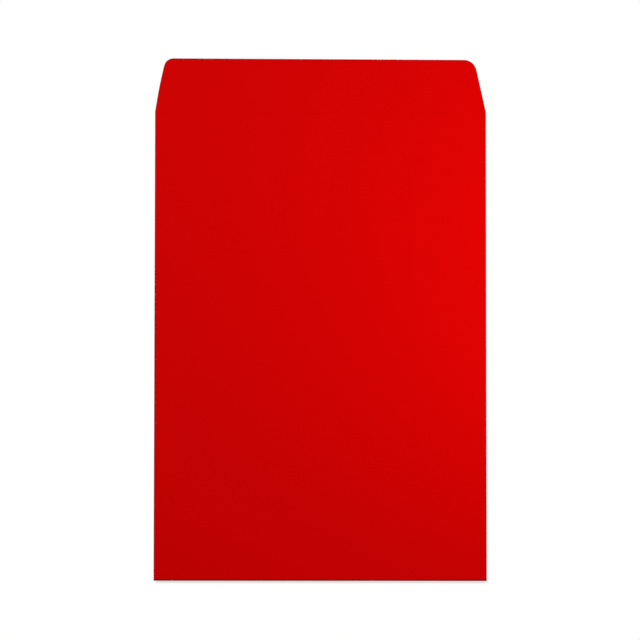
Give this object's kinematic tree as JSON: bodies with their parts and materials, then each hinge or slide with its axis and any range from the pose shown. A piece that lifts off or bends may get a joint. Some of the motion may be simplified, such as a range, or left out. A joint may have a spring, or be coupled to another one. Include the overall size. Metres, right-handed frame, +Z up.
{
  "type": "rigid cardboard envelope",
  "caption": "Flat pocket envelope of rigid red board for unfolded papers, with a scored closure flap that folds onto the back and a peel-and-seal strip under a release liner.",
  "frame": {"origin": "middle of the pocket's resting face, which is the back panel's outer face", "axes": "+X to the right as seen from above, +Y from the bottom fold to the open flap, +Z up out of the address side"},
  "size_m": [0.229, 0.3627, 0.0019],
  "materials": {
    "printed_board": "matte",
    "seam_glue": "satin",
    "seal_adhesive": "gloss",
    "liner_paper": "satin"
  },
  "bodies": {
    "pocket": {"front_panel": "printed_board", "flap_crease": "printed_board", "left_side_fold": "printed_board", "right_side_fold": "printed_board", "left_seam_flap": "printed_board", "right_seam_flap": "printed_board", "left_seam_glue": "seam_glue", "right_seam_glue": "seam_glue", "bottom_fold": "printed_board", "back_panel": "printed_board"},
    "flap": {"closure_flap": "printed_board", "seal_strip": "seal_adhesive"},
    "liner": {"release_liner": "liner_paper"}
  },
  "joints": [
    {"name": "flap_hinge", "type": "hinge", "parent": "pocket", "child": "flap", "pos_m": [0, 0.162, 0.0005], "axis": [-1, 0, 0], "range_deg": [0, 179.5]},
    {"name": "liner_peel", "type": "slide", "parent": "flap", "child": "liner", "axis": [1, 0, 0], "range_m": [0, 0.225]}
  ]
}
